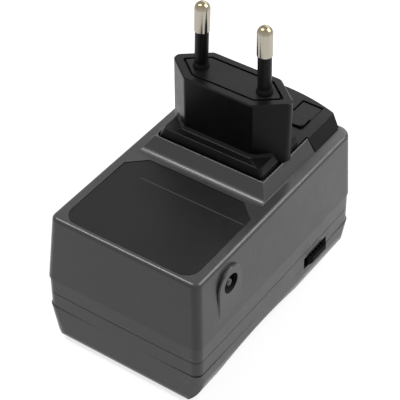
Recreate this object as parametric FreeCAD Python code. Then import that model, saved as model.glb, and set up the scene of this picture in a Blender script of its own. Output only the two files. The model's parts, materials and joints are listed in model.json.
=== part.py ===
"""Travel charger for camera batteries with a slide-on two-pin plug adapter, lying battery side down.

Millimetres, +Z up, +X to the charger's right, +Y the way the adapter slides off.
The origin is the middle of the charger in plan, on the surface that it lies on.
"""
import FreeCAD, Part
import math
import os

# Housing envelope
base_width = 46.3
base_length = 72.1
middle_y = -0.55
side_lean = 1.35
front_lean = 1.7
shoulder_height = 40.1
seam_height = 15.9
front_corner_radius = 2.2
back_corner_radius = 3.7
rim_radius = 1.2
rear_wall = 2.0
front_wall = 2.65
roof = 1.8
inner_corner_cut = 3.0

# Waist band, equally deep above and below the seam: flush in mid side, drawn in at its corners
band_half_height = 4.8
band_bow = 0.15
band_corner_growth = 0.1

# Seam between the two shells and the lip inside it
seam_gap = 0.2
lip_height = 1.6
lip_thickness = 0.8

# Battery side of the front shell
side_bottom_radius = 8.5
front_bottom_radius = 3.3
front_foot_radius = 6.0
back_foot_radius = 10.0
heel_length = 6.4
heel_height = 9.4
heel_low_radius = 8.0
heel_high_radius = 20.0
heel_inner_share = 0.85
scoop_length = 38.0
scoop_depth = 0.9
scoop_y = -9.7
scoop_tilt = 32.0
bay_side_margin = 7.15
bay_front_margin = 10.5
bay_length = 46.0
bay_depth = 9.0
bay_corner_radius = 2.0
tub_wall = 1.6

# Raised platform on the top face: a front ramp and two side rails round the adapter's channel
platform_height = 3.75
platform_foot_width = 37.4
platform_top_width = 32.6
ramp_foot_y = -2.0
ramp_top_y = 1.0
ramp_foot_radius = 3.0
platform_edge_radius = 0.3
rail_back_margin = 13.9
channel_width = 31.8
channel_front_y = 1.35
channel_corner_radius = 1.3
groove_base = 0.9
groove_height = 1.2
groove_depth = 0.8
rebate_depth = 6.0

# Clearances
slide_gap = 0.3
flank_gap = 0.5
button_gap = 0.3
fit_gap = 0.05
inlay_gap = 0.15

# Label panel let into the top face
label_side_margin = 2.8
label_front_margin = 1.4
label_back_y = -4.0
label_corner_radius = 4.0
label_chamfer_x = 4.8
label_chamfer_y = 4.4
label_depth = 0.3
label_thickness = 0.25

# Low-voltage inlet in an upright-faced boss on the right side
jack_front_margin = 14.0
jack_drop = 7.6
jack_bore = 5.5
jack_pin_diameter = 2.1
jack_pin_setback = 0.3
jack_pin_bevel = 0.4
jack_depth = 9.5
jack_body_width = 9.0
jack_body_height = 10.0
jack_body_length = 11.0
jack_seat_inset = 5.7
jack_boss_radius = 4.95
jack_boss_setback = 0.2
jack_boss_bevel = 0.3

# Plug adapter
adapter_wall = 1.5
deck_thickness = 1.6
adapter_overhang = 1.4
adapter_back_radius = 52.7
sill_height = 0.65
sill_width = 30.6
pad_height = 2.45
pad_width = 28.9
pad_front_slope = 0.6
adapter_plate = 1.2

# Plug head
head_y = 11.65
head_length = 36.4
head_width = 13.3
head_flat_length = 19.8
head_vertex_radius = 1.7
head_shoulder_radius = 1.5
head_face_z = 62.0
head_rim_bevel = 0.35
head_wall = 2.6
head_foot_flare = 0.6
head_foot_rise = 0.8
face_inset = 2.0
face_groove_width = 0.6
face_groove_depth = 0.8
carrier_thickness = 3.2
carrier_boss_width = 5.4
carrier_boss_length = 6.0

# Plug pins
pin_spacing = 18.6
pin_length = 19.0
pin_diameter = 4.0
pin_metal_length = 8.3
pin_tip_lean = 0.42
pin_core_diameter = 2.5
pin_root_depth = 15.4
sleeve_diameter = 3.5
sleeve_collar_diameter = 4.3
sleeve_collar_height = 1.4

# Release button in the rear deck
button_x = 10.05
button_back_margin = 7.75
button_width = 5.7
button_length = 10.1
button_chamfer = 1.0
button_low = 0.25
button_rise = 0.6
button_step_offset = 0.55
button_flange = 0.85
button_flange_thickness = 1.2
button_travel = 1.0
spring_thickness = 0.3
spring_width = 4.0

# Contacts between the adapter and the charger
contact_thickness = 0.5
contact_width = 4.0
contact_length = 10.0
contact_riser_width = 3.0
mains_spring_leg_y = 6.5
mains_spring_crown_y = 11.5
mains_spring_tip_y = 15.0
mains_spring_drop = 2.4

# Circuit board and what stands on it
board_side_margin = 4.7
board_end_margin = 5.0
board_thickness = 1.6
board_z = 17.5
post_half = 1.6
post_side_inset = 4.0
post_end_inset = 6.0
core_edge = 9.0
core_y = -14.0
core_width = 16.0
core_depth = 5.0
core_height = 13.0
core_limb = 2.4
core_leg = 4.0
winding_wall = 2.9
mains_capacitor_x = 6.5
mains_capacitor_y = -9.0
mains_capacitor_diameter = 8.0
mains_capacitor_headroom = 5.2
output_capacitor_edge = 5.5
output_capacitor_y = 24.0
output_capacitor_diameter = 6.3
output_capacitor_headroom = 2.2
rectifier_x = 2.0
rectifier_y = -27.0
rectifier_width = 6.4
rectifier_depth = 5.0
rectifier_height = 2.6
resistor_edge = 6.5
resistor_y = 22.0
resistor_diameter = 3.4
resistor_length = 9.0
resistor_lead_diameter = 0.7
resistor_stand = 0.6
chip_x = 1.0
chip_y = 24.0
chip_width = 4.9
chip_depth = 3.9
chip_height = 1.5
led_front_margin = 5.1
led_diameter = 3.0
led_setback = 0.4
led_length = 6.0
led_bevel = 0.4
led_lead_width = 0.6

# Voltage selector low on the right side
slot_back_margin = 13.2
slot_length = 10.9
slot_low_z = 9.9
slot_height = 3.4
slot_top_bevel = 0.4
knob_length = 8.8
knob_tip_length = 6.6
knob_height = 2.4
knob_proud = 0.9
knob_bevel = 0.5
knob_ribs = 5
rib_width = 0.5
rib_height = 0.35
knob_plate_thickness = 0.8
knob_plate_margin = 0.9
stem_length = 2.4
stem_width = 2.0
stem_height = 1.6
switch_depth = 4.4
switch_length = 9.0

# Battery contacts at the front end of the bay
blade_x = 6.0
blade_width = 2.2
blade_thickness = 0.4
blade_reach = 1.2
blade_z = 4.6
blade_rise = 2.0

# Levels and faces that follow from the sizes above
front_face_y = middle_y - base_length / 2
back_face_y = middle_y + base_length / 2
shell_top_z = seam_height - seam_gap
band_low_z = seam_height - band_half_height
band_top_z = seam_height + band_half_height
platform_z = shoulder_height + platform_height
adapter_low_z = shoulder_height + slide_gap
rebate_floor_z = shoulder_height - rebate_depth
block_low_z = rebate_floor_z + slide_gap
deck_underside_z = platform_z - deck_thickness
adapter_front_y = channel_front_y + slide_gap
adapter_half = channel_width / 2 - slide_gap
rail_end_y = back_face_y - rail_back_margin
block_front_y = rail_end_y + flank_gap
pad_top_z = platform_z + pad_height
sill_z = platform_z + sill_height
head_low_z = platform_z + slide_gap
carrier_low_z = head_face_z - carrier_thickness
board_top_z = board_z + board_thickness
board_half_width = base_width / 2 - board_side_margin
core_x = core_edge - board_half_width
resistor_x = resistor_edge - board_half_width
output_capacitor_x = board_half_width - output_capacitor_edge
adapter_back_y = back_face_y + adapter_overhang
button_y = adapter_back_y - button_back_margin
button_step_y = button_y - button_step_offset
sleeve_root_depth = carrier_thickness + carrier_boss_length
bay_width = base_width - 2 * bay_side_margin
bay_front_y = front_face_y + bay_front_margin
bay_back_y = bay_front_y + bay_length
tub_top_z = bay_depth + tub_wall
front_inner_x = base_width / 2 - front_wall
jack_y = front_face_y + jack_front_margin
jack_z = shoulder_height - jack_drop
jack_seat_x = base_width / 2 - jack_seat_inset
jack_face_x = base_width / 2 - jack_boss_setback
led_y = front_face_y + led_front_margin
slot_front_y = back_face_y - slot_back_margin - slot_length
knob_travel = slot_length - knob_length - 2 * slide_gap
sides = (("left", -1), ("right", 1))


def vector(x, y, z):
    return FreeCAD.Vector(x, y, z)


def plan(z):
    """Lay a flat outline at height z."""
    return lambda u, v: vector(u, v, z)


def across(y):
    """Stand a flat outline up across the charger, at depth y."""
    return lambda u, v: vector(u, y, v)


def along(x):
    """Stand a flat outline up along the charger, at x."""
    return lambda u, v: vector(x, u, v)


def outline(corners, place):
    """Closed wire through corners (u, v, radius), each rounded by a tangent arc where it has a radius."""
    spans = []
    count = len(corners)
    for i, (u, v, radius) in enumerate(corners):
        here = vector(u, v, 0)
        back = vector(corners[i - 1][0], corners[i - 1][1], 0) - here
        ahead = vector(corners[(i + 1) % count][0], corners[(i + 1) % count][1], 0) - here
        back.normalize()
        ahead.normalize()
        half = back.getAngle(ahead) / 2
        reach = radius / math.tan(half)
        inward = (back + ahead).normalize() if radius else vector(0, 0, 0)
        depth = radius / math.sin(half) - radius
        spans.append((radius, here + back * reach, here + inward * depth, here + ahead * reach))
    edges = []
    for i, (radius, start, middle, end) in enumerate(spans):
        points = [place(p.x, p.y) for p in (start, middle, end)]
        if radius:
            edges.append(Part.Arc(*points).toShape())
        following = spans[(i + 1) % count][1]
        if (following - end).Length > 1e-6:
            edges.append(Part.LineSegment(points[2], place(following.x, following.y)).toShape())
    return Part.Wire(edges)


def rectangle(u0, u1, v0, v1, radius=0.0):
    return [(u0, v0, radius), (u1, v0, radius), (u1, v1, radius), (u0, v1, radius)]


def cut_rectangle(half, front, back, cut):
    """Plan rectangle across the middle with its four corners cut straight."""
    inner = half - cut
    return [
        (-half, front + cut, 0), (-inner, front, 0), (inner, front, 0), (half, front + cut, 0),
        (half, back - cut, 0), (inner, back, 0), (-inner, back, 0), (-half, back - cut, 0),
    ]


def front_rounded(half, front, back, radius):
    """Plan rectangle across the middle with only its two front corners rounded."""
    return [(-half, front, radius), (half, front, radius), (half, back, 0), (-half, back, 0)]


def upright(corners, low, high):
    """Prism on a plan outline from height low to height high."""
    return Part.Face(outline(corners, plan(low))).extrude(vector(0, 0, high - low))


def lengthwise(corners, start, end):
    """Prism on an outline across the charger, from depth start to depth end."""
    return Part.Face(outline(corners, across(start))).extrude(vector(0, end - start, 0))


def crosswise(corners, start, end):
    """Prism on an outline along the charger, from x start to x end."""
    return Part.Face(outline(corners, along(start))).extrude(vector(end - start, 0, 0))


def box(x0, x1, y0, y1, z0, z1):
    return Part.makeBox(x1 - x0, y1 - y0, z1 - z0, vector(x0, y0, z0))


def rod(radius, x, y, low, high):
    return Part.makeCylinder(radius, high - low, vector(x, y, low))


def turned(profile):
    """Solid of revolution about Z from (radius, height) points that start and end on the axis."""
    points = [vector(r, 0, z) for r, z in profile]
    return Part.Face(Part.makePolygon(points + points[:1])).revolve(vector(0, 0, 0), vector(0, 0, 1), 360)


def clean(shape):
    """The single solid that a chain of cuts and joins has left, with split faces merged."""
    merged = shape.removeSplitter()
    return merged.Solids[0] if len(merged.Solids) == 1 else merged


def level_edges(shape, z):
    return [e for e in shape.Edges if all(abs(p.Point.z - z) < 1e-4 for p in e.Vertexes)]


def lean_share(z):
    """How far up its leaning walls height z is, from 0 at the waist band to 1 at the shoulder."""
    return (z - band_top_z) / (shoulder_height - band_top_z)


def drafted_prism(inset, high):
    """Flat walls from the waist band to height high, drawn in by inset: all lean in but the back."""
    back_y = back_face_y - inset
    rings = []
    for z in (band_top_z, high):
        x = base_width / 2 - lean_share(z) * side_lean - inset
        front_y = front_face_y + lean_share(z) * front_lean + inset
        plan_points = ((-x, front_y), (x, front_y), (x, back_y), (-x, back_y))
        rings.append([vector(u, v, z) for u, v in plan_points])
    low, top = rings
    loops = [low[::-1], top]
    for i in range(len(low)):
        loops.append([low[i - 1], low[i], top[i], top[i - 1]])
    walls = Part.Shell([Part.Face(Part.makePolygon(loop + loop[:1])) for loop in loops])
    return Part.Solid(walls)


def corner_edges(shape):
    return [e for e in shape.Edges if abs(e.Vertexes[0].Point.z - e.Vertexes[1].Point.z) > fit_gap]


def end_edges(shape, end):
    """Upright corner edges at one end: -1 in front, 1 behind."""
    return [e for e in corner_edges(shape) if end * (e.CenterOfMass.y - middle_y) > base_length / 4]


def drafted_body():
    """Upper body, its upright corners rounder at the back."""
    body = drafted_prism(0, shoulder_height)
    body = body.makeFillet(front_corner_radius, end_edges(body, -1))
    return body.makeFillet(back_corner_radius, end_edges(body, 1))


def drafted_hollow():
    """Space inside the upper body, its corners cut straight."""
    prism = drafted_prism(rear_wall, shoulder_height - roof)
    return prism.makeChamfer(inner_corner_cut, corner_edges(prism))


def band(low, high):
    """Waist band between two heights: four bowed sides with round corners."""
    x = base_width / 2
    edge_x = x - band_bow
    arcs = []
    corners = []
    for end, body_radius in ((-1, front_corner_radius), (1, back_corner_radius)):
        radius = body_radius + band_corner_growth
        face_y = middle_y + end * base_length / 2
        edge_y = face_y - end * band_bow
        turn_x = edge_x - radius
        turn_y = edge_y - end * radius
        mid = radius * math.sqrt(0.5)
        arcs.append(((-turn_x, edge_y), (0, face_y), (turn_x, edge_y)))
        for side in (-1, 1):
            middle = (side * (turn_x + mid), turn_y + end * mid)
            arcs.append(((side * turn_x, edge_y), middle, (side * edge_x, turn_y)))
        corners.append(turn_y)
    for side in (-1, 1):
        arcs.append(((side * edge_x, corners[0]), (side * x, middle_y), (side * edge_x, corners[1])))
    edges = [Part.Arc(*[vector(u, v, low) for u, v in arc]).toShape() for arc in arcs]
    wire = Part.Wire(Part.__sortEdges__(edges))
    return Part.Face(wire).extrude(vector(0, 0, high - low))


def band_hollow(inset, low, high):
    """Straight-sided space inside the waist band, drawn in by inset from the band's corners."""
    margin = band_bow + inset
    half = base_width / 2 - margin
    corners = cut_rectangle(half, front_face_y + margin, back_face_y - margin, inner_corner_cut)
    return upright(corners, low, high)


def corner_taper(side, end, upper_radius, lower_radius):
    """What a cone that touches both walls leaves outside it at one corner, wider towards the bottom."""
    x = base_width / 2
    face_y = middle_y + end * base_length / 2
    slope = (lower_radius - upper_radius) / band_low_z
    apex_z = lower_radius / slope
    across_wedge = [(side * x, 0, 0), (side * (x - lower_radius), 0, 0), (side * x, apex_z, 0)]
    along_wedge = [(face_y, 0, 0), (face_y - end * lower_radius, 0, 0), (face_y, apex_z, 0)]
    zone = lengthwise(across_wedge, front_face_y, back_face_y).common(crosswise(along_wedge, -x, x))
    axis = vector(-side * slope, -end * slope, -1)
    reach = 2 * apex_z * axis.Length
    spread = reach * slope / math.sqrt(1 + slope ** 2)
    return zone.cut(Part.makeCone(0, spread, reach, vector(side * x, face_y, apex_z), axis))


def lower_block():
    """Block below the waist band, its upright corners rounder towards the bottom."""
    x = base_width / 2
    block = box(-x, x, front_face_y, back_face_y, 0, band_low_z)
    for _, side in sides:
        block = block.cut(corner_taper(side, -1, front_corner_radius, front_foot_radius))
        block = block.cut(corner_taper(side, 1, back_corner_radius, back_foot_radius))
    return block


def scoop(sign):
    """Shallow finger dip in the rounding of one bottom edge."""
    radius = (scoop_length ** 2 / 4 + scoop_depth ** 2) / (2 * scoop_depth)
    tilt = math.radians(scoop_tilt)
    outward = vector(sign * math.cos(tilt), 0, -math.sin(tilt))
    axis = vector(sign * math.sin(tilt), 0, math.cos(tilt))
    rounding = vector(sign * (base_width / 2 - side_bottom_radius), scoop_y, side_bottom_radius)
    centre = rounding + outward * (side_bottom_radius + radius - scoop_depth)
    return Part.makeCylinder(radius, 2 * base_width, centre - axis * base_width, axis)


def battery_side():
    """Outside of the front shell: block and waist band, met with its front and side outlines."""
    x = base_width / 2
    top = band_top_z
    front_view = [(-x, 0, side_bottom_radius), (x, 0, side_bottom_radius), (x, top, 0), (-x, top, 0)]
    side_view = [
        (front_face_y, 0, front_bottom_radius),
        (back_face_y - heel_length, 0, heel_low_radius),
        (back_face_y, heel_height, heel_high_radius),
        (back_face_y, top, 0),
        (front_face_y, top, 0),
    ]
    outer = lower_block().fuse(band(band_low_z, shell_top_z))
    outer = outer.common(lengthwise(front_view, front_face_y, back_face_y))
    outer = outer.common(crosswise(side_view, -x, x))
    for _, sign in sides:
        outer = outer.cut(scoop(sign))
    return outer


def lower_hollow():
    """Space inside the battery side: its plan, front and side outlines with their corners cut straight."""
    x = front_inner_x
    front_y = front_face_y + front_wall
    back_y = back_face_y - front_wall
    low = front_wall
    top = seam_height
    side_cut = side_bottom_radius - front_wall
    footprint = upright(cut_rectangle(x, front_y, back_y, inner_corner_cut), low, top)
    front_view = [
        (side_cut - x, low, 0), (x - side_cut, low, 0), (x, low + side_cut, 0),
        (x, top, 0), (-x, top, 0), (-x, low + side_cut, 0),
    ]
    side_view = [
        (front_y, low, 0),
        (back_y - heel_inner_share * heel_length, low, 0),
        (back_y, low + heel_inner_share * heel_height, 0),
        (back_y, top, 0),
        (front_y, top, 0),
    ]
    return footprint.common(lengthwise(front_view, front_y, back_y)).common(crosswise(side_view, -x, x))


def platform():
    """Raised platform: a ramp with a hollow foot, met with the sloped section across it."""
    slope = math.atan2(platform_height, ramp_top_y - ramp_foot_y)
    tail_y = ramp_foot_y - ramp_foot_radius * math.tan(slope / 2)
    root_z = shoulder_height - roof / 2
    side_view = [
        (tail_y, root_z, 0),
        (tail_y, shoulder_height, 0),
        (ramp_foot_y, shoulder_height, ramp_foot_radius),
        (ramp_top_y, platform_z, platform_edge_radius),
        (rail_end_y, platform_z, 0),
        (rail_end_y, root_z, 0),
    ]
    foot = platform_foot_width / 2
    top = platform_top_width / 2
    front_view = [
        (-foot, root_z, 0),
        (foot, root_z, 0),
        (foot, shoulder_height, 0),
        (top, platform_z, platform_edge_radius),
        (-top, platform_z, platform_edge_radius),
        (-foot, shoulder_height, 0),
    ]
    return crosswise(side_view, -foot, foot).common(lengthwise(front_view, tail_y, rail_end_y))


def channel():
    """Space that the adapter slides in: the channel, its two grooves and the deep rebate behind."""
    half = channel_width / 2
    back = base_length
    groove_z = shoulder_height + groove_base
    space = upright(front_rounded(half, channel_front_y, back, channel_corner_radius),
                    shoulder_height, platform_z + roof)
    groove_half = half + groove_depth
    groove_front = channel_front_y + channel_corner_radius
    space = space.fuse(box(-groove_half, groove_half, groove_front, back, groove_z, groove_z + groove_height))
    return space.fuse(box(-half, half, rail_end_y, back, rebate_floor_z, platform_z))


def label_outline(gap):
    """Plan of the label: round corners in front, cut corners behind, drawn in by gap."""
    x = base_width / 2 - side_lean - label_side_margin - gap
    front_y = front_face_y + front_lean + label_front_margin + gap
    back_y = label_back_y - gap
    cut_x = x - label_chamfer_x
    cut_y = back_y - label_chamfer_y
    return [
        (-x, front_y, label_corner_radius),
        (x, front_y, label_corner_radius),
        (x, cut_y, 0),
        (cut_x, back_y, 0),
        (-cut_x, back_y, 0),
        (-x, cut_y, 0),
    ]


def jack_boss():
    """Arched boss round the inlet, its upright face clear of the leaning wall, and the jack's seat behind."""
    root_x = base_width / 2 - (side_lean + rear_wall) / 2
    front_y = jack_y - jack_boss_radius
    back_y = jack_y + jack_boss_radius
    crown = Part.makeCylinder(jack_boss_radius, jack_face_x - root_x, vector(root_x, jack_y, jack_z),
                              vector(1, 0, 0))
    boss = clean(crown.fuse(box(root_x, jack_face_x, front_y, back_y, band_top_z, jack_z)))
    rim = [e for e in boss.Edges if all(abs(p.Point.x - jack_face_x) < 1e-4 for p in e.Vertexes)]
    boss = boss.makeChamfer(jack_boss_bevel, [e for e in rim if e.CenterOfMass.z > band_top_z + fit_gap])
    return boss.fuse(box(jack_seat_x, root_x, jack_y - jack_body_width / 2, jack_y + jack_body_width / 2,
                         jack_z - jack_body_height / 2, jack_z + jack_body_height / 2))


def mains_window(sign):
    """Window in the roof for one mains spring."""
    x = sign * pin_spacing / 2
    half = contact_width / 2 + slide_gap
    front_y = mains_spring_leg_y - slide_gap
    return box(x - half, x + half, front_y, mains_spring_tip_y + slide_gap, rebate_floor_z, platform_z)


def rear_housing():
    outer = drafted_body()
    outer = outer.makeFillet(rim_radius, level_edges(outer, shoulder_height))
    outer = outer.fuse(band(seam_height, band_top_z))
    hollow = band_hollow(rear_wall, seam_height, band_top_z).fuse(drafted_hollow())
    keep_half = channel_width / 2 + rear_wall
    keep_z = rebate_floor_z - roof
    hollow = hollow.cut(box(-keep_half, keep_half, rail_end_y - rear_wall, base_length, keep_z, platform_z))
    shell = outer.cut(hollow).fuse(platform())
    shell = shell.fuse(jack_boss()).cut(channel())
    shell = shell.cut(upright(label_outline(0), shoulder_height - label_depth, platform_z))
    bore_start = vector(jack_seat_x - rear_wall, jack_y, jack_z)
    shell = shell.cut(Part.makeCylinder(jack_bore / 2, base_width, bore_start, vector(1, 0, 0)))
    for _, sign in sides:
        shell = shell.cut(mains_window(sign))
    return clean(shell)


def label_panel():
    floor_z = shoulder_height - label_depth
    return upright(label_outline(inlay_gap), floor_z, floor_z + label_thickness)


def bay(margin, top):
    half = bay_width / 2 + margin
    corners = rectangle(-half, half, bay_front_y - margin, bay_back_y + margin, bay_corner_radius + margin)
    return upright(corners, -front_wall, top)


def selector_slot():
    """Slot in the right wall for the selector, its top edge bevelled outwards."""
    back_y = slot_front_y + slot_length
    high_z = slot_low_z + slot_height
    wall_x = base_width / 2
    bevel = [
        (wall_x - slot_top_bevel, high_z, 0),
        (wall_x + slot_top_bevel, high_z + 2 * slot_top_bevel, 0),
        (wall_x + slot_top_bevel, high_z - slot_top_bevel, 0),
        (wall_x - slot_top_bevel, high_z - slot_top_bevel, 0),
    ]
    opening = box(front_inner_x - slide_gap, base_width, slot_front_y, back_y, slot_low_z, high_z)
    return opening.fuse(lengthwise(bevel, slot_front_y, back_y))


def front_housing():
    hollow = lower_hollow().cut(bay(tub_wall, tub_top_z))
    shell = battery_side().cut(hollow)
    lip_inset = rear_wall + 2 * fit_gap
    lip_z = seam_height + lip_height
    lip_root_z = seam_height - lip_height / 2
    lip = band_hollow(lip_inset, lip_root_z, lip_z)
    lip = lip.cut(band_hollow(lip_inset + lip_thickness, lip_root_z, lip_z))
    shell = shell.fuse(lip)
    post_x = bay_width / 2 - post_side_inset
    for x in (-post_x, post_x):
        for y in (bay_front_y + post_end_inset, bay_back_y - post_end_inset):
            post = rectangle(x - post_half, x + post_half, y - post_half, y + post_half)
            shell = shell.fuse(upright(post, tub_top_z - tub_wall / 2, board_z))
    shell = shell.cut(bay(0, bay_depth)).cut(selector_slot())
    for _, sign in sides:
        half = blade_width / 2 + slide_gap
        low_z = blade_z - blade_rise - slide_gap
        high_z = blade_z + blade_rise + slide_gap
        x = sign * blade_x
        start_y = bay_front_y - 2 * tub_wall
        shell = shell.cut(box(x - half, x + half, start_y, bay_front_y + tub_wall, low_z, high_z))
    led_hole = rod(led_diameter / 2 + fit_gap, 0, led_y, -front_wall, 2 * front_wall)
    return clean(shell.cut(led_hole))


def head_outline(inset, rounding=1.0):
    """Six-sided plan of the plug head, drawn in by inset; a rounding of 0 leaves its corners sharp."""
    slant = math.atan2(head_width / 2, (head_length - head_flat_length) / 2)
    half_width = head_width / 2 - inset
    half_length = head_length / 2 - inset / math.sin(slant)
    half_flat = head_flat_length / 2 - inset * math.tan(slant / 2)
    tip = rounding * max(head_vertex_radius - inset / 2, fit_gap)
    bend = rounding * max(head_shoulder_radius - inset / 2, fit_gap)
    return [
        (-half_flat, head_y - half_width, bend),
        (half_flat, head_y - half_width, bend),
        (half_length, head_y, tip),
        (half_flat, head_y + half_width, bend),
        (-half_flat, head_y + half_width, bend),
        (-half_length, head_y, tip),
    ]


def adapter_back(inset, low, high):
    """Everything in front of the adapter's bowed back face, drawn in by inset."""
    centre_y = adapter_back_y - adapter_back_radius
    return rod(adapter_back_radius - inset, 0, centre_y, low, high)


def rear_deck():
    """Rear deck with sloped flanks that carry on the platform's section."""
    foot = platform_foot_width / 2 - slide_gap
    top = platform_top_width / 2 - slide_gap / 2
    section = [
        (-foot, adapter_low_z, 0),
        (foot, adapter_low_z, 0),
        (top, platform_z, platform_edge_radius),
        (-top, platform_z, platform_edge_radius),
    ]
    deck = lengthwise(section, block_front_y, adapter_back_y)
    return deck.common(adapter_back(0, adapter_low_z, platform_z))


def rear_block(inset, low, high):
    """Deep part of the adapter that drops into the rebate, drawn in by inset."""
    half = adapter_half - inset
    block = box(-half, half, block_front_y, adapter_back_y, low, high)
    return block.common(adapter_back(inset, low, high))


def pad():
    """Raised pad that the plug head stands on, over a low sill, with sloped front and sides."""
    back_y = head_y + head_width / 2 - fit_gap
    sill_front = adapter_front_y
    pad_front = sill_front + pad_front_slope
    corner = channel_corner_radius - slide_gap
    sections = []
    for z, width, front_y in ((sill_z, sill_width, sill_front), (pad_top_z, pad_width, pad_front)):
        sections.append(outline(front_rounded(width / 2, front_y, back_y, corner), plan(z)))
    sill = upright(front_rounded(sill_width / 2, sill_front, back_y, corner), deck_underside_z, sill_z)
    return sill.fuse(Part.makeLoft(sections, True, True))


def head_foot():
    """Flared foot where the plug head meets the pad, kept to the pad's width."""
    flare = Part.makeLoft([
        outline(head_outline(-head_foot_flare), plan(pad_top_z)),
        outline(head_outline(0), plan(pad_top_z + head_foot_rise)),
    ], True, True)
    half = pad_width / 2
    return flare.common(box(-half, half, adapter_front_y, head_y, pad_top_z, head_face_z))


def button_window():
    half_x = button_width / 2 + button_gap
    half_y = button_length / 2 + button_gap
    corners = [
        (button_x - half_x, button_y - half_y, button_chamfer),
        (button_x + half_x, button_y - half_y, button_chamfer),
        (button_x + half_x, button_y + half_y, 0),
        (button_x - half_x, button_y + half_y, 0),
    ]
    low_z = deck_underside_z - button_travel - 2 * button_gap
    return upright(corners, low_z, platform_z + button_rise)


def adapter_cover():
    tongue_half = adapter_half + groove_depth
    tongue_z = shoulder_height + groove_base + slide_gap
    tongue_top_z = tongue_z + groove_height - 2 * slide_gap
    front_corner = channel_corner_radius - slide_gap
    front_deck = upright(front_rounded(adapter_half, adapter_front_y, block_front_y, front_corner),
                         adapter_low_z, platform_z)
    tongue_front = channel_front_y + channel_corner_radius + slide_gap
    tongues = box(-tongue_half, tongue_half, tongue_front, rail_end_y, tongue_z, tongue_top_z)
    shell = front_deck.fuse(tongues).fuse(rear_deck()).fuse(rear_block(0, block_low_z, platform_z))
    inner_half = adapter_half - adapter_wall
    inner_front = adapter_front_y + adapter_wall
    hollow = box(-inner_half, inner_half, inner_front, block_front_y, adapter_low_z, deck_underside_z)
    hollow = hollow.fuse(rear_block(adapter_wall, block_low_z, deck_underside_z))
    head = upright(head_outline(0), head_low_z, head_face_z)
    head = head.makeChamfer(head_rim_bevel, level_edges(head, head_face_z))
    shell = shell.cut(hollow).fuse(pad()).fuse(head).fuse(head_foot())
    shell = shell.cut(upright(head_outline(head_wall, 0), adapter_low_z, carrier_low_z))
    shell = shell.cut(upright(head_outline(face_inset), carrier_low_z, head_face_z + roof))
    return clean(shell.cut(button_window()))


def adapter_base():
    """Lower moulding: a plate under the pad, a step down, and the floor under the button."""
    front_y = adapter_front_y + adapter_wall + fit_gap
    floor_z = block_low_z + adapter_plate
    plate_z = adapter_low_z + adapter_plate
    step_y = block_front_y + adapter_plate
    half = adapter_half - adapter_wall - fit_gap
    profile = [
        (front_y, adapter_low_z, 0),
        (block_front_y, adapter_low_z, 0),
        (block_front_y, block_low_z, 0),
        (adapter_back_y, block_low_z, 0),
        (adapter_back_y, floor_z, 0),
        (step_y, floor_z, 0),
        (step_y, plate_z, 0),
        (front_y, plate_z, 0),
    ]
    base = crosswise(profile, -half, half).common(adapter_back(adapter_wall + fit_gap, block_low_z, plate_z))
    for _, sign in sides:
        base = base.cut(contact_pad(sign, fit_gap)).cut(contact_riser(sign, fit_gap))
    return clean(base)


def lean(sign):
    """Stand a pin built on the Z axis on the plug face, its tip leaning to the middle."""
    angle = math.degrees(math.atan2(pin_tip_lean, pin_length))
    turn = FreeCAD.Rotation(vector(0, 1, 0), -sign * angle)
    return FreeCAD.Placement(vector(sign * pin_spacing / 2, head_y, head_face_z), turn)


def pin(sign):
    """Plug pin from its tip: dome, full-size metal, then the thinner core inside the sleeve."""
    radius = pin_diameter / 2
    core = pin_core_diameter / 2
    metal_z = pin_length - pin_metal_length
    tip_base = pin_length - radius
    dome = Part.makeSphere(radius).common(rod(radius, 0, 0, 0, radius))
    body = turned([
        (0, -pin_root_depth), (core, -pin_root_depth), (core, metal_z), (radius, metal_z),
        (radius, tip_base), (0, tip_base),
    ])
    dome.translate(vector(0, 0, tip_base))
    shape = clean(body.fuse(dome))
    shape.Placement = lean(sign)
    return shape


def pin_sleeve(sign):
    """Insulating sleeve on the pin's core, with a flared collar that sits on the plug face."""
    radius = sleeve_diameter / 2
    collar = sleeve_collar_diameter / 2
    collar_z = collar * pin_tip_lean / pin_length + fit_gap
    top = pin_length - pin_metal_length - fit_gap
    blank = turned([
        (0, -sleeve_root_depth), (radius, -sleeve_root_depth), (radius, collar_z), (collar, collar_z),
        (radius, sleeve_collar_height), (radius, top), (0, top),
    ])
    shape = blank.cut(rod(pin_core_diameter / 2 + fit_gap, 0, 0, -pin_root_depth, pin_length))
    shape.Placement = lean(sign)
    return shape


def pin_carrier():
    """Face piece of the plug: a stepped plate with a boss behind each pin."""
    seat = upright(head_outline(face_inset + fit_gap), carrier_low_z, head_face_z - face_groove_depth)
    face = upright(head_outline(face_inset + face_groove_width), carrier_low_z, head_face_z)
    carrier = seat.fuse(face)
    for _, sign in sides:
        half = carrier_boss_width / 2
        boss = box(-half, half, -half, half, -sleeve_root_depth, -carrier_thickness / 2)
        boss.Placement = lean(sign)
        bore = upright(head_outline(head_wall + fit_gap, 0), adapter_low_z, head_face_z)
        carrier = carrier.fuse(boss.common(bore))
    for _, sign in sides:
        hole = rod(sleeve_diameter / 2 + fit_gap, 0, 0, -pin_root_depth, pin_length)
        hole.Placement = lean(sign)
        carrier = carrier.cut(hole)
    return clean(carrier)


def contact_pad(sign, gap):
    """Flat strip let into the adapter's underside, grown by gap for its slot."""
    x = sign * pin_spacing / 2
    half_x = contact_width / 2 + gap
    half_y = contact_length / 2 + gap
    return box(x - half_x, x + half_x, head_y - half_y, head_y + half_y,
               adapter_low_z - gap, adapter_low_z + contact_thickness + gap)


def contact_riser(sign, gap):
    """Upright part of the strip, up to the root of its pin, grown by gap for its slot."""
    root = lean(sign).multVec(vector(0, 0, -pin_root_depth))
    half_x = contact_riser_width / 2 + gap
    half_y = contact_thickness / 2 + gap
    return box(root.x - half_x, root.x + half_x, head_y - half_y, head_y + half_y,
               adapter_low_z + contact_thickness / 2, root.z - fit_gap)


def adapter_contact(sign):
    return clean(contact_pad(sign, 0).fuse(contact_riser(sign, 0)))


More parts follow.
